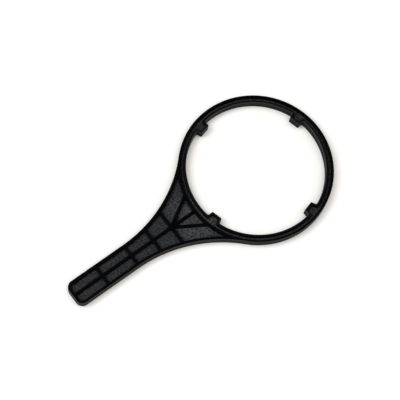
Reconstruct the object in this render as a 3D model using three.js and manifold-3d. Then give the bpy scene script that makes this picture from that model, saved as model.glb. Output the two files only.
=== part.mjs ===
// A housing wrench for water filters: a ring with four inward lugs, and a flared flat handle, all moulded
// as one piece of black plastic. A thin web lies at half its thickness. Rims and ribs stand up from the web
// on both faces, so the section is an I-beam all round and each face shows a ribbed grid of pockets.
//
// Millimetres, +Z up, lying flat on Z = 0. The handle points along -X. Everything is drawn about the ring's
// centre, and the finished mesh is then moved so that the origin is below the middle of the whole length.
import * as THREE from "three";
import { mergeVertices } from "three/addons/utils/BufferGeometryUtils.js";
import Module from "manifold-3d";

// Ring
const BORE_R = 59.2; // inside of the ring, between its lugs
const RING_R = 66.1; // outside of the ring
const RING_RIM = 2; // width of the two rims beside the ring's groove

// Lugs that catch the ribs of the filter housing
const LUG_COUNT = 4;
const LUG_FIRST_ANGLE = 15; // degrees round from the point opposite the handle
const LUG_TIP_R = 54.2; // distance of a lug's flat tip from the ring's centre
const LUG_TIP_HALF = 4.8; // half width of the tip
const LUG_ROOT_HALF = 5.9; // half width where the lug leaves the bore
const LUG_ROOT_FILLET = 1.3;
const LUG_TIP_FILLET = 0.8;

// Handle
const REACH = 189.1; // ring's centre to the end of the handle
const GRIP_HALF = 11; // half width of the parallel grip
const FLARE_R = 118; // the concave sweep from the grip's side to the ring, tangent to both
const END_CORNER_R = 6.3;
const GRIP_RIM = 2.7; // width of the rim along the handle's edge
const RIB = 2; // width of the ribs between the pockets
const CROSS_RIBS = [-159.5, -130.6, -108.3, -89.5]; // where the ribs cross the handle
const BRACE_ANGLE = 31; // degrees between the middle rib and each of the two braces
const BRACE_AT_RING = 13; // degrees off the handle's middle line, roughly, where a brace meets the ring
const RIM_AT_RING = 34; // the same for the inner edge of the flare's rim

// Thickness
const THICKNESS = 9;
const WEB = 3;
const POCKET_CORNER_R = 0.9;
const POCKET_DEPTH = (THICKNESS - WEB) / 2;
const CUT_PAST = 1; // how far a cutter stands out of the face that it opens

// Curves become chords that stay this close to them, with at most this turn from one chord to the next.
const CHORD_ERROR = 0.05;
const MOST_TURN = THREE.MathUtils.degToRad(22.5);
const FILLET_STEPS = 20; // steps towards a fillet's centre, more than it needs to settle

// The centre of the flare on the handle's +Y side. The other flare is its mirror image.
const FLARE_Y = GRIP_HALF + FLARE_R;
const FLARE_X = -Math.sqrt((RING_R + FLARE_R) ** 2 - FLARE_Y ** 2);

const point = (x, y) => new THREE.Vector2(x, y);
const ORIGIN = point(0, 0);
const FLARE_CENTRE = point(FLARE_X, FLARE_Y);

// The points from one angle to another round a circle, both ends included.
function arc(centre, radius, from, to) {
  const turn = Math.min(MOST_TURN, 2 * Math.acos(1 - CHORD_ERROR / radius));
  const steps = Math.max(1, Math.ceil(Math.abs(to - from) / turn));
  const points = [];
  for (let i = 0; i <= steps; i++) {
    const angle = from + ((to - from) * i) / steps;
    points.push(point(Math.cos(angle), Math.sin(angle)).multiplyScalar(radius).add(centre));
  }
  return points;
}

// The short way round a circle between two points on it.
function arcBetween(centre, start, end) {
  const a = start.clone().sub(centre);
  const b = end.clone().sub(centre);
  const sweep = Math.atan2(a.cross(b), a.dot(b));
  return arc(centre, a.length(), a.angle(), a.angle() + sweep);
}

// A side of an outline is a line or part of a circle. It knows how far inside it a point lies, which way
// is further in, and the points to add between two of its own.
function straight(from, to) {
  const way = to.clone().sub(from).normalize();
  const inward = point(-way.y, way.x);
  return {
    depth: (p) => p.clone().sub(from).dot(inward),
    inward: () => inward,
    between: () => [],
  };
}

function round(centre, radius, holdsOutline) {
  const sign = holdsOutline ? 1 : -1;
  return {
    depth: (p) => sign * (radius - p.distanceTo(centre)),
    inward: (p) => centre.clone().sub(p).normalize().multiplyScalar(sign),
    between: (start, end) => arcBetween(centre, start, end).slice(1, -1),
  };
}

// The centre of the fillet that touches two sides, found by stepping from a point near their corner.
// A negative radius puts the centre outside both sides, for a corner that points into the outline.
function filletCentre(a, b, radius, near) {
  const centre = near.clone();
  for (let i = 0; i < FILLET_STEPS; i++) {
    const na = a.inward(centre);
    const nb = b.inward(centre);
    const missA = radius - a.depth(centre);
    const missB = radius - b.depth(centre);
    const scale = 1 / na.cross(nb);
    centre.x += (missA * nb.y - missB * na.y) * scale;
    centre.y += (missB * na.x - missA * nb.x) * scale;
  }
  return centre;
}

// A closed anticlockwise outline. Each corner says which side leads to it, how it is rounded, and roughly
// where it is; the next corner's side leads away from it.
function outline(corners) {
  const fillets = corners.map(({ side, radius, near }, i) => {
    const next = corners[(i + 1) % corners.length].side;
    const centre = filletCentre(side, next, radius, near);
    const touch = (s) => centre.clone().addScaledVector(s.inward(centre), -radius);
    return arcBetween(centre, touch(side), touch(next));
  });
  return fillets.flatMap((fillet, i) => {
    const next = fillets[(i + 1) % fillets.length];
    const side = corners[(i + 1) % corners.length].side;
    return [...fillet, ...side.between(fillet.at(-1), next[0])];
  });
}

const mirrored = (points) => points.map((p) => point(p.x, -p.y)).reverse();

// The ring's outside runs into the two flares, the grip's sides and the rounded end.
function bodyOutline() {
  const away = Math.atan2(FLARE_Y, FLARE_X);
  const end = point(END_CORNER_R - REACH, GRIP_HALF - END_CORNER_R);
  const upper = [
    ...arc(ORIGIN, RING_R, 0, away),
    ...arc(FLARE_CENTRE, FLARE_R, away - Math.PI, -Math.PI / 2).slice(1),
    ...arc(end, END_CORNER_R, Math.PI / 2, Math.PI),
  ];
  return [...upper, ...mirrored(upper).slice(0, -1)];
}

// The four points of one lug's sides, moved in by a rim's width where the outline is of the hollow in it.
function lugCorners(index, rim, rootR) {
  const angle = THREE.MathUtils.degToRad(LUG_FIRST_ANGLE + (360 / LUG_COUNT) * index);
  const taper = (LUG_ROOT_HALF - LUG_TIP_HALF) / (BORE_R - LUG_TIP_R);
  const narrower = rim * Math.hypot(1, taper);
  const halfAt = (r) => LUG_ROOT_HALF - taper * (BORE_R - r) - narrower;
  const at = (r, side) => point(r, side * halfAt(r)).rotateAround(ORIGIN, angle);
  const tipR = LUG_TIP_R + rim;
  return [at(rootR, -1), at(tipR, -1), at(tipR, 1), at(rootR, 1)];
}

// A circle that steps in round each lug. It is the bore when rim is 0, and otherwise the inner edge of the
// groove, which keeps a rim's width from the bore and from every side of the lugs.
function ringInside(radius, rim) {
  const circle = round(ORIGIN, radius, true);
  const corners = [];
  for (let i = 0; i < LUG_COUNT; i++) {
    const [rootA, tipA, tipB, rootB] = lugCorners(i, rim, radius);
    corners.push(
      { side: circle, radius: LUG_ROOT_FILLET, near: rootA },
      { side: straight(rootA, tipA), radius: -LUG_TIP_FILLET, near: tipA },
      { side: straight(tipA, tipB), radius: -LUG_TIP_FILLET, near: tipB },
      { side: straight(tipB, rootB), radius: LUG_ROOT_FILLET, near: rootB },
    );
  }
  return outline(corners);
}

// The upper pockets of one face. Those below the middle rib are their mirror images.
function upperPockets() {
  const rim = round(FLARE_CENTRE, FLARE_R + GRIP_RIM, false);
  const ringEdge = round(ORIGIN, RING_R, false);
  const low = RIB / 2;
  const high = GRIP_HALF - GRIP_RIM;
  const rimAt = (x) => FLARE_Y - Math.sqrt((FLARE_R + GRIP_RIM) ** 2 - (x - FLARE_X) ** 2);
  const floor = straight(point(-1, low), point(0, low));
  const leftOf = (x) => straight(point(x, 0), point(x, 1));
  const rightOf = (x) => straight(point(x, 1), point(x, 0));
  const ceiling = straight(point(0, high), point(-1, high));
  const corner = (side, x, y, radius = POCKET_CORNER_R) => ({ side, radius, near: point(x, y) });

  // Between the end wall and the last cross rib, a pocket's top is the grip's rim or the flare's.
  const endWall = GRIP_RIM - REACH;
  const edges = [endWall, ...CROSS_RIBS.flatMap((x) => [x - RIB / 2, x + RIB / 2])];
  const cells = [];
  for (let i = 0; i < CROSS_RIBS.length; i++) {
    const [left, right] = edges.slice(2 * i, 2 * i + 2);
    const flared = right > FLARE_X;
    const top = flared ? rim : ceiling;
    const topLeft = i === 0 ? END_CORNER_R - GRIP_RIM : POCKET_CORNER_R;
    cells.push([
      corner(floor, right, low),
      corner(leftOf(right), right, flared ? rimAt(right) : high),
      corner(top, left, flared ? rimAt(left) : high, topLeft),
      corner(rightOf(left), left, low),
    ]);
  }

  // The fan between the last cross rib and the ring: a brace parts it into a long and a short triangle.
  const node = CROSS_RIBS.at(-1);
  const lean = THREE.MathUtils.degToRad(BRACE_ANGLE);
  const braceHalf = RIB / 2 / Math.cos(lean); // half the brace's width, measured across the handle
  const run = point(Math.cos(lean), Math.sin(lean));
  const above = straight(point(node, braceHalf), point(node, braceHalf).add(run));
  const below = straight(point(node, -braceHalf).add(run), point(node, -braceHalf));
  const fanLeft = node + RIB / 2;
  const onRing = (degrees) => point(-RING_R, 0).rotateAround(ORIGIN, -THREE.MathUtils.degToRad(degrees));
  const braceEnd = onRing(BRACE_AT_RING);
  const rimEnd = onRing(RIM_AT_RING);
  cells.push([
    corner(above, braceEnd.x, braceEnd.y),
    corner(ringEdge, rimEnd.x, rimEnd.y),
    corner(rim, fanLeft, rimAt(fanLeft)),
    corner(rightOf(fanLeft), fanLeft, braceHalf + (fanLeft - node) * Math.tan(lean)),
  ]);
  cells.push([
    corner(floor, -RING_R, low),
    corner(ringEdge, braceEnd.x, braceEnd.y),
    corner(below, node + (low + braceHalf) / Math.tan(lean), low),
  ]);
  return cells.map(outline);
}

const wasm = await Module();
wasm.setup();

function toSolid(geometry) {
  geometry.deleteAttribute("normal");
  geometry.deleteAttribute("uv");
  const merged = mergeVertices(geometry, 1e-4);
  return new wasm.Manifold(
    new wasm.Mesh({
      numProp: 3,
      vertProperties: merged.attributes.position.array,
      triVerts: new Uint32Array(merged.index.array),
    }),
  );
}

// A prism of an outline, with any holes, from one height to another.
function prism(points, holes, from, to) {
  const shape = new THREE.Shape(points);
  shape.holes = holes.map((hole) => new THREE.Path(hole));
  const geometry = new THREE.ExtrudeGeometry(shape, { depth: to - from, bevelEnabled: false, steps: 1 });
  return toSolid(geometry.translate(0, 0, from));
}

function moulding() {
  const bore = ringInside(BORE_R, 0);
  const grooveOutside = arc(ORIGIN, RING_R - RING_RIM, 0, 2 * Math.PI).slice(0, -1);
  const grooveInside = ringInside(BORE_R + RING_RIM, RING_RIM);
  const above = upperPockets();
  const pockets = [...above, ...above.map(mirrored)];
  let body = prism(bodyOutline(), [bore], 0, THICKNESS);
  const faces = [
    [-CUT_PAST, POCKET_DEPTH],
    [THICKNESS - POCKET_DEPTH, THICKNESS + CUT_PAST],
  ];
  for (const [from, to] of faces) {
    body = body.subtract(prism(grooveOutside, [grooveInside], from, to));
    for (const pocket of pockets) {
      body = body.subtract(prism(pocket, [], from, to));
    }
  }
  return body;
}

function toGeometry(solid) {
  const mesh = solid.getMesh();
  const geometry = new THREE.BufferGeometry();
  geometry.setAttribute("position", new THREE.BufferAttribute(mesh.vertProperties, 3));
  geometry.setIndex(new THREE.BufferAttribute(mesh.triVerts, 1));
  geometry.computeVertexNormals();
  return geometry;
}

const blackPlastic = new THREE.MeshStandardMaterial({ color: 0x141416, roughness: 0.5, metalness: 0 });
const wrench = new THREE.Mesh(toGeometry(moulding()), blackPlastic);
wrench.name = "wrench_body";
wrench.position.x = (REACH - RING_R) / 2;

const group = new THREE.Group();
group.add(wrench);

export default group;
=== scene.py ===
"""The looks of a water filter housing wrench: one black plastic moulding, lying on a light table.

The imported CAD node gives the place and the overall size. This script makes the same moulding again as a
finer closed mesh, with rounded edges, draft, floor fillets and a parting line, and gives it four finishes.
Outlines are drawn in millimetres about the ring's centre, as complex numbers: real is X and imaginary is Y.
Each outline runs anticlockwise. The top half of the moulding is made first, and then mirrored to the back.
"""

import math

import bpy
import numpy as np
from mathutils import Matrix, Vector
from mathutils.geometry import delaunay_2d_cdt

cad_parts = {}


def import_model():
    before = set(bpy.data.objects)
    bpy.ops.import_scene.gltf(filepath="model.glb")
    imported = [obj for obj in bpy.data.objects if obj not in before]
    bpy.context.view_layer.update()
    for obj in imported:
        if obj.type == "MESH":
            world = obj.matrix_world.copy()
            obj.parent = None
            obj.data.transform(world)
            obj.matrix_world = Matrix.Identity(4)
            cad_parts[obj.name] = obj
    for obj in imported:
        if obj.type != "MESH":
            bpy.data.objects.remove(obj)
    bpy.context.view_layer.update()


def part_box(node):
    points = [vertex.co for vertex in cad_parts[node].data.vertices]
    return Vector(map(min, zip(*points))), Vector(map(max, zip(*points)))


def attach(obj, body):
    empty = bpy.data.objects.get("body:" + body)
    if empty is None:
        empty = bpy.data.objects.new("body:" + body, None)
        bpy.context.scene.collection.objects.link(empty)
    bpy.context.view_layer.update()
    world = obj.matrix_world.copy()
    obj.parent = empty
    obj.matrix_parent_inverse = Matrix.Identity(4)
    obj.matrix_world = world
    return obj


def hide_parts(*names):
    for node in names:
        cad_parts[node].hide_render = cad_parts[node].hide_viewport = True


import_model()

MM = 0.001
low, high = (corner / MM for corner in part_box("wrench_body"))

# Ring
BORE_R = 59.2  # inside of the ring, between its lugs
RING_R = 66.1  # outside of the ring
RING_RIM = 2  # width of the two rims beside the ring's groove
RING_CENTRE_X = high.x - RING_R

# Lugs
LUG_COUNT = 4
LUG_FIRST_ANGLE = 15  # degrees round from the point opposite the handle
LUG_TIP_R = 54.2  # distance of a lug's flat tip from the ring's centre
LUG_TIP_HALF = 4.8  # half width of the tip
LUG_ROOT_HALF = 5.9  # half width where the lug leaves the bore
LUG_ROOT_FILLET = 1.3
LUG_TIP_FILLET = 0.8

# Handle
REACH = RING_CENTRE_X - low.x  # ring's centre to the end of the handle
GRIP_HALF = 11  # half width of the parallel grip
FLARE_R = 118  # the concave sweep from the grip's side to the ring, tangent to both
END_CORNER_R = 6.3
GRIP_RIM = 2.7  # width of the rim along the handle's edge
RIB = 2  # width of the ribs between the pockets
CROSS_RIBS = [-159.5, -130.6, -108.3, -89.5]  # where the ribs cross the handle
BRACE_ANGLE = 31  # degrees between the middle rib and each of the two braces
BRACE_AT_RING = 13  # degrees off the handle's middle line, roughly, where a brace meets the ring
RIM_AT_RING = 34  # the same for the inner edge of the flare's rim

# Thickness
THICKNESS = high.z
MIDDLE = THICKNESS / 2
WEB = 3  # thickness of the plate that the rims and ribs stand on
POCKET_CORNER_R = 0.9
FLOOR = (THICKNESS + WEB) / 2  # height of the floors of the pockets and of the groove

# What the moulding has and the plain solid doesn't
OUTSIDE_EDGE_R = 0.45  # rounding of the outside's edges
BORE_EDGE_R = 0.7  # rounding of the bore's edges, which with the draft stays below LUG_TIP_FILLET
POCKET_EDGE_R = 0.3  # rounding of the top edges of the pockets and the groove
FLOOR_FILLET = 0.4
DRAFT = 0.07  # how far a pocket's wall leans in, from its top to its floor
SIDE_DRAFT = 0.05  # how far the outside and the bore lean back, from the middle to an edge
PARTING_STEP = 0.03  # the parting line stands this far out of the outside and the bore
PARTING_HALF = 0.12  # half the parting line's height
ROUND_STEPS = 5  # steps round a rounded edge or a fillet

# Curves become chords that stay this close to them, with at most this turn from one chord to the next.
CHORD_ERROR = 0.008
MOST_TURN = math.radians(11.25)
FILLET_PASSES = 20  # steps towards a fillet's centre, more than it needs to settle

# The centre of the flare on the handle's +Y side. The other flare is its mirror image.
FLARE_Y = GRIP_HALF + FLARE_R
FLARE_X = -math.sqrt((RING_R + FLARE_R) ** 2 - FLARE_Y**2)
FLARE_CENTRE = complex(FLARE_X, FLARE_Y)


# Outlines


def dot(a, b):
    return (a * b.conjugate()).real


def cross(a, b):
    return (a.conjugate() * b).imag


def angle_of(a):
    return math.atan2(a.imag, a.real)


def arc(centre, radius, start, end):
    """The points from one angle to another round a circle, both ends included."""
    turn = min(MOST_TURN, 2 * math.acos(1 - CHORD_ERROR / radius))
    steps = max(1, math.ceil(abs(end - start) / turn))
    return list(centre + radius * np.exp(1j * np.linspace(start, end, steps + 1)))


def arc_between(centre, start, end):
    """The short way round a circle between two points on it."""
    a = start - centre
    sweep = math.atan2(cross(a, end - centre), dot(a, end - centre))
    return arc(centre, abs(a), angle_of(a), angle_of(a) + sweep)


class Straight:
    """A side along a line. The outline's inside is on its left."""

    def __init__(self, start, end):
        self.start = start
        self.left = 1j * (end - start) / abs(end - start)

    def inward(self, point):
        return self.left

    def depth(self, point):
        return dot(point - self.start, self.left)

    def between(self, start, end):
        return []


class Round:
    """A side along a circle that holds the outline, or that the outline stays out of."""

    def __init__(self, centre, radius, holds):
        self.centre = centre
        self.radius = radius
        self.sign = 1 if holds else -1

    def inward(self, point):
        return self.sign * (self.centre - point) / abs(self.centre - point)

    def depth(self, point):
        return self.sign * (self.radius - abs(point - self.centre))

    def between(self, start, end):
        return arc_between(self.centre, start, end)[1:-1]


def fillet_centre(a, b, radius, near):
    """The centre of the fillet that touches two sides. A negative radius puts it outside both."""
    centre = near
    for _ in range(FILLET_PASSES):
        na = a.inward(centre)
        nb = b.inward(centre)
        miss_a = radius - a.depth(centre)
        miss_b = radius - b.depth(centre)
        centre += 1j * (miss_b * na - miss_a * nb) / cross(na, nb)
    return centre


def outline(corners):
    """A closed outline. A corner is (the side that leads to it, its fillet's radius, where it roughly is)."""
    sides = [side for side, _, _ in corners]
    after = sides[1:] + sides[:1]
    fillets = []
    for (side, radius, near), following in zip(corners, after):
        centre = fillet_centre(side, following, radius, near)
        start = centre - radius * side.inward(centre)
        end = centre - radius * following.inward(centre)
        fillets.append(arc_between(centre, start, end))
    points = []
    for fillet, following, side in zip(fillets, fillets[1:] + fillets[:1], after):
        points += fillet + side.between(fillet[-1], following[0])
    return points


def mirrored(points):
    """The outline on the other side of the handle's middle line."""
    return [p.conjugate() for p in reversed(points)]


def goes_round(points, middle):
    """Whether an outline goes round a point: the turns between its points then add up to a whole one."""
    arms = points - middle
    return np.angle(np.roll(arms, -1) / arms).sum() > math.pi


def body_outline():
    """The ring's outside, the two flares, the grip's sides and the rounded end."""
    away = angle_of(FLARE_CENTRE)
    end = complex(END_CORNER_R - REACH, GRIP_HALF - END_CORNER_R)
    upper = arc(0, RING_R, 0, away)
    upper += arc(FLARE_CENTRE, FLARE_R, away - math.pi, -math.pi / 2)[1:]
    upper += arc(end, END_CORNER_R, math.pi / 2, math.pi)
    return upper + mirrored(upper)[:-1]


def lug_corners(index, rim, root_r):
    """The four points of a lug's sides, moved in by a rim's width for the hollow in it."""
    turned = np.exp(1j * math.radians(LUG_FIRST_ANGLE + 360 / LUG_COUNT * index))
    taper = (LUG_ROOT_HALF - LUG_TIP_HALF) / (BORE_R - LUG_TIP_R)
    narrower = rim * math.hypot(1, taper)

    def at(r, side):
        half = LUG_ROOT_HALF - taper * (BORE_R - r) - narrower
        return complex(r, side * half) * turned

    tip_r = LUG_TIP_R + rim
    return at(root_r, -1), at(tip_r, -1), at(tip_r, 1), at(root_r, 1)


def ring_inside(radius, rim):
    """A circle that steps in round each lug: the bore, or with a rim the inner edge of the groove."""
    circle = Round(0, radius, holds=True)
    corners = []
    for index in range(LUG_COUNT):
        root_a, tip_a, tip_b, root_b = lug_corners(index, rim, radius)
        corners += [
            (circle, LUG_ROOT_FILLET, root_a),
            (Straight(root_a, tip_a), -LUG_TIP_FILLET, tip_a),
            (Straight(tip_a, tip_b), -LUG_TIP_FILLET, tip_b),
            (Straight(tip_b, root_b), LUG_ROOT_FILLET, root_b),
        ]
    return outline(corners)


def grip_pockets():
    """The pockets between the cross ribs, from the handle's end to the fan, above the middle rib."""
    rim = Round(FLARE_CENTRE, FLARE_R + GRIP_RIM, holds=False)
    bottom = RIB / 2
    top = GRIP_HALF - GRIP_RIM
    lower_side = Straight(complex(-1, bottom), complex(0, bottom))
    ceiling = Straight(complex(0, top), complex(-1, top))
    left = GRIP_RIM - REACH
    left_corner_r = END_CORNER_R - GRIP_RIM
    pockets = []
    for rib in CROSS_RIBS:
        right = rib - RIB / 2
        flared = right > FLARE_X
        upper_side = rim if flared else ceiling
        left_top = rim_height(left) if flared else top
        right_top = rim_height(right) if flared else top
        right_side = Straight(complex(right, 0), complex(right, 1))
        left_side = Straight(complex(left, 1), complex(left, 0))
        corners = [
            (lower_side, POCKET_CORNER_R, complex(right, bottom)),
            (right_side, POCKET_CORNER_R, complex(right, right_top)),
            (upper_side, left_corner_r, complex(left, left_top)),
            (left_side, POCKET_CORNER_R, complex(left, bottom)),
        ]
        pockets.append(outline(corners))
        left = rib + RIB / 2
        left_corner_r = POCKET_CORNER_R
    return pockets


def rim_height(x):
    """How far from the handle's middle the inner edge of its flared rim is."""
    return FLARE_Y - math.sqrt((FLARE_R + GRIP_RIM) ** 2 - (x - FLARE_X) ** 2)


def fan_pockets():
    """The two pockets above the middle rib that a brace parts, between the last cross rib and the ring."""
    rim = Round(FLARE_CENTRE, FLARE_R + GRIP_RIM, holds=False)
    ring_edge = Round(0, RING_R, holds=False)
    node = CROSS_RIBS[-1]
    lean = math.radians(BRACE_ANGLE)
    along = np.exp(1j * lean)
    brace_half = RIB / 2 / math.cos(lean)  # half the brace's width, measured across the handle
    brace_top = complex(node, brace_half)
    brace_under = complex(node, -brace_half)
    above = Straight(brace_top, brace_top + along)
    under = Straight(brace_under + along, brace_under)
    bottom = RIB / 2
    lower_side = Straight(complex(-1, bottom), complex(0, bottom))
    left = node + RIB / 2
    left_side = Straight(complex(left, 1), complex(left, 0))
    left_bottom = brace_half + (left - node) * math.tan(lean)
    brace_end = -RING_R * np.exp(-1j * math.radians(BRACE_AT_RING))
    rim_end = -RING_R * np.exp(-1j * math.radians(RIM_AT_RING))
    point_x = node + (bottom + brace_half) / math.tan(lean)
    r = POCKET_CORNER_R
    outer = outline(
        [
            (above, r, brace_end),
            (ring_edge, r, rim_end),
            (rim, r, complex(left, rim_height(left))),
            (left_side, r, complex(left, left_bottom)),
        ]
    )
    inner = outline(
        [
            (lower_side, r, complex(-RING_R, bottom)),
            (ring_edge, r, brace_end),
            (under, r, complex(point_x, bottom)),
        ]
    )
    return [outer, inner]


# The moulding's mesh

TOP, EDGE, SIDE, TEXTURED = 0, 1, 2, 3  # the finishes, by their places in the list of materials
INSIDE_EDGES = 1  # delaunay_2d_cdt's choice of every triangle within the outermost edges
SAME_POINT = 1e-6  # millimetres


class Edge:
    """An outline with the direction out of the plastic at each of its points."""

    def __init__(self, points, plastic_inside):
        self.points = np.array(points)
        self.plastic_inside = plastic_inside
        ahead = np.roll(self.points, -1) - self.points
        ahead /= abs(ahead)
        behind = np.roll(ahead, 1)
        left = 1j * (ahead + behind)
        left /= abs(left)
        self.outward = -left if plastic_inside else left
        self.stretch = 1 / dot(left, 1j * ahead)  # a corner moves further than the sides beside it

    def moved(self, inset):
        """The outline, moved into the plastic."""
        return self.points - self.outward * self.stretch * inset


class Mesh:
    """The moulding's points, the surface's direction at each of them, and its faces with their finishes."""

    def __init__(self):
        self.points = []
        self.normals = []
        self.faces = []
        self.finishes = []

    def loop(self, edge, inset, height, tilt):
        """One turn round an edge. Tilt is the surface's angle there, from 0, upright, to 90, facing up."""
        first = len(self.points)
        out = math.cos(math.radians(tilt))
        up = math.sin(math.radians(tilt))
        for p, n in zip(edge.moved(inset), edge.outward):
            self.points.append(Vector((p.real, p.imag, height)))
            self.normals.append(Vector((n.real * out, n.imag * out, up)))
        return list(range(first, len(self.points)))

    def band(self, upper, lower, plastic_inside, finish):
        """The strip of faces between two turns round the same edge."""
        count = len(upper)
        for i in range(count):
            j = (i + 1) % count
            face = [upper[i], lower[i], lower[j], upper[j]]
            self.faces.append(face if plastic_inside else face[::-1])
            self.finishes.append(finish)

    def sweep(self, edge, profile, edge_finish, wall_finish):
        """A rounded edge and the wall below it, from its first turn to its last. Returns both turns."""
        turns = [self.loop(edge, *step) for step in profile]
        for i in range(len(turns) - 1):
            finish = edge_finish if i < ROUND_STEPS else wall_finish
            self.band(turns[i], turns[i + 1], edge.plastic_inside, finish)
        return turns[0], turns[-1]

    def flat(self, outside, holes, finish):
        """A level face that fills one turn and leaves others open, in well-shaped triangles."""
        ids = []
        edges = []
        for turn in (outside, *holes):
            first = len(ids)
            ids += turn
            edges += [(first + i, first + (i + 1) % len(turn)) for i in range(len(turn))]
        plan = [self.points[i].xy for i in ids]
        _, _, triangles, sources, _, _ = delaunay_2d_cdt(plan, edges, [], INSIDE_EDGES, SAME_POINT)
        openings = [np.array([complex(*self.points[i].xy) for i in turn]) for turn in holes]
        for triangle in triangles:
            corners = [ids[sources[i][0]] for i in triangle]
            middle = sum(complex(*self.points[i].xy) for i in corners) / 3
            if not any(goes_round(opening, middle) for opening in openings):
                self.faces.append(corners)
                self.finishes.append(finish)

    def mirror_down(self):
        """Adds the back half, which shares the points at mid height."""
        twins = []
        for i in range(len(self.points)):
            p = self.points[i]
            n = self.normals[i]
            if p.z == MIDDLE:
                twins.append(i)
                continue
            twins.append(len(self.points))
            self.points.append(Vector((p.x, p.y, THICKNESS - p.z)))
            self.normals.append(Vector((n.x, n.y, -n.z)))
        self.faces += [[twins[i] for i in reversed(face)] for face in self.faces]
        self.finishes += self.finishes

    def build(self, name):
        """The Blender object, in metres and in its place."""
        data = bpy.data.meshes.new(name)
        place = Vector((RING_CENTRE_X, 0, 0))
        data.from_pydata([(p + place) * MM for p in self.points], [], self.faces)
        data.polygons.foreach_set("material_index", self.finishes)
        data.shade_smooth()
        data.normals_split_custom_set_from_vertices(self.normals)
        piece = bpy.data.objects.new(name, data)
        bpy.context.scene.collection.objects.link(piece)
        return piece


def rounded_top(lean, radius):
    """The rounding from the flat top to a wall that leans back by this much at its top."""
    steps = []
    for tilt in np.linspace(90, 0, ROUND_STEPS + 1):
        turn = math.radians(tilt)
        inset = lean + radius * (1 - math.cos(turn))
        height = THICKNESS - radius * (1 - math.sin(turn))
        steps.append((inset, height, tilt))
    return steps


def floor_fillet():
    """The fillet from a pocket's wall to its floor."""
    steps = []
    for tilt in np.linspace(0, 90, ROUND_STEPS + 1):
        turn = math.radians(tilt)
        inset = -DRAFT - FLOOR_FILLET * (1 - math.cos(turn))
        height = FLOOR + FLOOR_FILLET * (1 - math.sin(turn))
        steps.append((inset, height, tilt))
    return steps


def side_profile(edge_radius):
    """The outside or the bore, from the flat top to the parting line at mid height."""
    parting = [
        (PARTING_STEP, MIDDLE + 2 * PARTING_HALF, 0),
        (0, MIDDLE + PARTING_HALF, 0),
        (0, MIDDLE, 0),
    ]
    return rounded_top(PARTING_STEP + SIDE_DRAFT, edge_radius) + parting


def pocket_profile():
    """A pocket or the groove, from the flat top to its floor."""
    return rounded_top(0, POCKET_EDGE_R) + floor_fillet()


def moulding():
    """The outside and the bore, the ring's groove, the pockets, the flat tops, and then the back half."""
    mesh = Mesh()
    hollow = pocket_profile()
    outside = Edge(body_outline(), True)
    bore = Edge(ring_inside(BORE_R, 0), False)
    outside_top, _ = mesh.sweep(outside, side_profile(OUTSIDE_EDGE_R), EDGE, SIDE)
    bore_top, _ = mesh.sweep(bore, side_profile(BORE_EDGE_R), EDGE, SIDE)

    groove_out = arc(0, RING_R - RING_RIM, 0, 2 * math.pi)[:-1]
    groove_in = ring_inside(BORE_R + RING_RIM, RING_RIM)
    groove_out_top, groove_out_floor = mesh.sweep(Edge(groove_out, False), hollow, TOP, TOP)
    groove_in_top, groove_in_floor = mesh.sweep(Edge(groove_in, True), hollow, TOP, TOP)
    mesh.flat(groove_out_floor, [groove_in_floor], TEXTURED)

    above = grip_pockets() + fan_pockets()
    pocket_tops = []
    for points in above + [mirrored(points) for points in above]:
        top, floor = mesh.sweep(Edge(points, False), hollow, TOP, TOP)
        mesh.flat(floor, [], TEXTURED)
        pocket_tops.append(top)

    mesh.flat(outside_top, [groove_out_top, *pocket_tops], TOP)
    mesh.flat(groove_in_top, [bore_top], EDGE)
    mesh.mirror_down()
    return mesh.build("wrench_moulding")


# Materials: colours, and roughness from 0, mirror-like, to 1

SMOOTH_DARK = (0.001, 0.001, 0.0012)
SMOOTH_LIGHT = (0.0022, 0.0022, 0.0026)
TEXTURED_DARK = (0.004, 0.004, 0.0043)
TEXTURED_LIGHT = (0.058, 0.058, 0.062)
MOTTLE_RANGE = (0.37, 0.63)  # the part of the noise's range that goes from the dark to the light colour
TEXTURED_ROUGHNESS = (0.78, 0.6)  # in the dark and in the light patches
TEXTURED_GLOSS = 0.25

# The pocket floors round the two braces are paler than the others.
PALE_CENTRE = Vector((-68, -4, FLOOR))  # millimetres from the ring's centre
PALE_RADII = (12, 26)  # millimetres: inside the first it is palest, and outside the second it isn't pale
PALE_BRIGHTNESS = (2.1, 1.05)  # times the colour, inside the first radius and outside the second

# How rough the surfaces are, in metres
SMOOTH_BUMP = 0.00002
COARSE_BUMP = 0.00006
FINE_BUMP = 0.00004


def new_material(name):
    """A material, its nodes, its links and its Principled shader."""
    material = bpy.data.materials.new(name)
    material.use_nodes = True
    nodes = material.node_tree.nodes
    shader = next(n for n in nodes if n.type == "BSDF_PRINCIPLED")
    return material, nodes, material.node_tree.links, shader


def add(nodes, kind, **values):
    """A node, with its inputs set by name."""
    node = nodes.new(kind)
    for name, value in values.items():
        node.inputs[name].default_value = value
    return node


def ramp(nodes, links, source, low_value, high_value, low_at=0.3, high_at=0.7):
    """Turns a pattern or a distance, as it goes from low_at to high_at, into a number between two values."""
    node = nodes.new("ShaderNodeMapRange")
    node.inputs["From Min"].default_value = low_at
    node.inputs["From Max"].default_value = high_at
    node.inputs["To Min"].default_value = low_value
    node.inputs["To Max"].default_value = high_value
    links.new(source, node.inputs["Value"])
    return node.outputs["Result"]


def mix_colours(nodes, links, factor, first, second):
    """The first colour where the factor is 0, the second where it is 1, and a mix of them in between."""
    node = nodes.new("ShaderNodeMix")
    node.data_type = "RGBA"
    node.inputs["A"].default_value = (*first, 1)
    node.inputs["B"].default_value = (*second, 1)
    links.new(factor, node.inputs["Factor"])
    return node.outputs["Result"]


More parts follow.
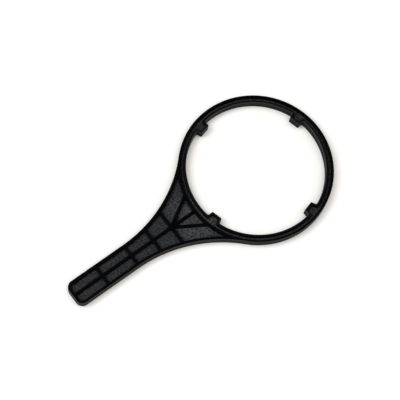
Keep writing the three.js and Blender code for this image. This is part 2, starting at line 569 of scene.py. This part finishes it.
def smooth_plastic(name, gloss, roughness_low, roughness_high):
    """The parts of the mould that aren't textured: near black, with faint flow marks and rub marks."""
    material, nodes, links, shader = new_material(name)
    place = nodes.new("ShaderNodeTexCoord").outputs["Object"]
    flow = add(nodes, "ShaderNodeTexNoise", Scale=45, Detail=4, Roughness=0.6)
    grain = add(nodes, "ShaderNodeTexNoise", Scale=900, Detail=3, Roughness=0.6)
    for node in (flow, grain):
        links.new(place, node.inputs["Vector"])
    colour = mix_colours(nodes, links, flow.outputs["Fac"], SMOOTH_DARK, SMOOTH_LIGHT)
    links.new(colour, shader.inputs["Base Color"])
    rubbed = ramp(nodes, links, flow.outputs["Fac"], roughness_low, roughness_high)
    links.new(rubbed, shader.inputs["Roughness"])
    shader.inputs["Specular IOR Level"].default_value = gloss
    bump = add(nodes, "ShaderNodeBump", Strength=0.25, Distance=SMOOTH_BUMP)
    links.new(grain.outputs["Fac"], bump.inputs["Height"])
    links.new(bump.outputs["Normal"], shader.inputs["Normal"])
    return material


def textured_plastic():
    """The floors of the pockets and the groove: the same plastic with a fine sparked texture."""
    material, nodes, links, shader = new_material("textured_black_plastic")
    place = nodes.new("ShaderNodeTexCoord").outputs["Object"]
    spark = add(nodes, "ShaderNodeTexVoronoi", Scale=2600)
    grain = add(nodes, "ShaderNodeTexNoise", Scale=1700, Detail=4, Roughness=0.7)
    mottle = add(nodes, "ShaderNodeTexNoise", Scale=650, Detail=4, Roughness=0.6)
    for node in (spark, grain, mottle):
        links.new(place, node.inputs["Vector"])
    patchy = ramp(nodes, links, mottle.outputs["Fac"], 0, 1, *MOTTLE_RANGE)
    colour = mix_colours(nodes, links, patchy, TEXTURED_DARK, TEXTURED_LIGHT)
    away = nodes.new("ShaderNodeVectorMath")
    away.operation = "DISTANCE"
    away.inputs[1].default_value = Vector((RING_CENTRE_X, 0, 0)) * MM + PALE_CENTRE * MM
    links.new(place, away.inputs[0])
    near, far = PALE_RADII
    brightness = ramp(nodes, links, away.outputs["Value"], *PALE_BRIGHTNESS, near * MM, far * MM)
    scaled = nodes.new("ShaderNodeVectorMath")
    scaled.operation = "SCALE"
    links.new(colour, scaled.inputs[0])
    links.new(brightness, scaled.inputs["Scale"])
    links.new(scaled.outputs["Vector"], shader.inputs["Base Color"])
    rubbed = ramp(nodes, links, mottle.outputs["Fac"], *TEXTURED_ROUGHNESS)
    links.new(rubbed, shader.inputs["Roughness"])
    shader.inputs["Specular IOR Level"].default_value = TEXTURED_GLOSS
    coarse = add(nodes, "ShaderNodeBump", Strength=0.6, Distance=COARSE_BUMP)
    fine = add(nodes, "ShaderNodeBump", Strength=0.6, Distance=FINE_BUMP)
    links.new(grain.outputs["Fac"], coarse.inputs["Height"])
    links.new(spark.outputs["Distance"], fine.inputs["Height"])
    links.new(coarse.outputs["Normal"], fine.inputs["Normal"])
    links.new(fine.outputs["Normal"], shader.inputs["Normal"])
    return material


# Studio

CAMERA_AZIMUTH = -48.6  # degrees: 0 looks along +Y
CAMERA_ELEVATION = 70.6
CAMERA_ROLL = 12.0
CAMERA_DISTANCE = 1.0907  # metres
CAMERA_TARGET = Vector((0.0077, 0.0068, 0))  # metres: where the middle of the picture meets the floor
LENS = 117  # millimetres
SENSOR = 36  # millimetres

FLOOR_HALF = 3  # metres
FLOOR_GAP = 0.02  # millimetres below the wrench, so that the two faces don't coincide
FLOOR_PAINT = (0.84, 0.83, 0.81)
FLOOR_ROUGHNESS = 0.9
FLOOR_LIGHT = (1, 0.97, 0.92)
FLOOR_GLOW = 0.5  # the floor is a light table, which keeps the shadows faint
PAINTED_SHADOW_REACH = 0.005  # metres: painted contact shadow: next to the wrench, over about this distance, the table's glow is dimmed

LIGHT_DISTANCE = 2  # metres
WALLS = (0.8, 0.82, 0.84)
CEILING = (0.04, 0.04, 0.045)
CEILING_FROM = (0.4, 0.65)  # sines of the elevations where the walls start to darken, and where they end


def camera():
    """The camera, turned round its target and rolled about its line of sight."""
    azimuth = math.radians(CAMERA_AZIMUTH)
    elevation = math.radians(CAMERA_ELEVATION)
    level = math.cos(elevation)
    back = Vector((math.sin(azimuth) * level, -math.cos(azimuth) * level, math.sin(elevation)))
    right = Vector((math.cos(azimuth), math.sin(azimuth), 0))
    turn = Matrix((right, back.cross(right), back)).transposed()
    turn @= Matrix.Rotation(math.radians(CAMERA_ROLL), 3, "Z")
    data = bpy.data.cameras.new("camera")
    data.lens = LENS
    data.sensor_width = SENSOR
    view = bpy.data.objects.new("camera", data)
    view.matrix_world = Matrix.Translation(CAMERA_TARGET + back * CAMERA_DISTANCE) @ turn.to_4x4()
    bpy.context.scene.collection.objects.link(view)
    bpy.context.scene.camera = view


def softbox(name, azimuth, elevation, size, power, colour):
    """A square area light that faces the object. Azimuth turns anticlockwise from +X."""
    turn = math.radians(azimuth)
    rise = math.radians(elevation)
    away = Vector((math.cos(turn) * math.cos(rise), math.sin(turn) * math.cos(rise), math.sin(rise)))
    data = bpy.data.lights.new(name, "AREA")
    data.size = size
    data.energy = power
    data.color = colour
    light = bpy.data.objects.new(name, data)
    light.location = away * LIGHT_DISTANCE
    light.rotation_euler = away.to_track_quat("Z", "Y").to_euler()
    bpy.context.scene.collection.objects.link(light)


def floor():
    """The light table: it glows, with a painted contact shadow that dims the glow where the wrench stands
    close to it.
    """
    data = bpy.data.meshes.new("floor")
    signs = [(-1, -1), (1, -1), (1, 1), (-1, 1)]
    corners = [(FLOOR_HALF * x, FLOOR_HALF * y, -FLOOR_GAP * MM) for x, y in signs]
    data.from_pydata(corners, [], [range(len(corners))])
    piece = bpy.data.objects.new("floor", data)
    bpy.context.scene.collection.objects.link(piece)
    material, nodes, links, shader = new_material("floor_paint")
    shader.inputs["Base Color"].default_value = (*FLOOR_PAINT, 1)
    shader.inputs["Roughness"].default_value = FLOOR_ROUGHNESS
    shader.inputs["Emission Color"].default_value = (*FLOOR_LIGHT, 1)
    # Painted contact shadow: ambient occlusion dims the table's glow next to the wrench.
    painted_shadow_openness = add(nodes, "ShaderNodeAmbientOcclusion", Distance=PAINTED_SHADOW_REACH)
    glow_under_painted_shadow = ramp(nodes, links, painted_shadow_openness.outputs["AO"], 0, FLOOR_GLOW, 0, 1)
    links.new(glow_under_painted_shadow, shader.inputs["Emission Strength"])
    data.materials.append(material)


def world():
    """Light walls and a dimmer ceiling."""
    room = bpy.data.worlds.new("studio")
    room.use_nodes = True
    bpy.context.scene.world = room
    nodes = room.node_tree.nodes
    links = room.node_tree.links
    background = next(n for n in nodes if n.type == "BACKGROUND")
    direction = nodes.new("ShaderNodeTexCoord").outputs["Generated"]
    split = nodes.new("ShaderNodeSeparateXYZ")
    links.new(direction, split.inputs["Vector"])
    height = ramp(nodes, links, split.outputs["Z"], 0, 1, *CEILING_FROM)
    shade = mix_colours(nodes, links, height, WALLS, CEILING)
    links.new(shade, background.inputs["Color"])


wrench = moulding()

# In the order of TOP, EDGE, SIDE and TEXTURED. The numbers are the gloss and the range of roughness.
wrench.data.materials.append(smooth_plastic("smooth_black_plastic", 0.07, 0.3, 0.4))
wrench.data.materials.append(smooth_plastic("edge_black_plastic", 0.4, 0.28, 0.36))
wrench.data.materials.append(smooth_plastic("side_black_plastic", 0.06, 0.5, 0.6))
wrench.data.materials.append(textured_plastic())
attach(wrench, "root")
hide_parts("wrench_body")

floor()
world()
softbox("key_light", azimuth=144, elevation=56, size=1.0, power=20, colour=(0.92, 0.97, 1))
softbox("camera_side_light", azimuth=-125, elevation=50, size=1.2, power=4, colour=(1, 0.97, 0.93))
softbox("right_light", azimuth=-36, elevation=45, size=1.0, power=4, colour=(1, 0.94, 0.87))
camera()
bpy.context.scene.view_settings.view_transform = "Standard"
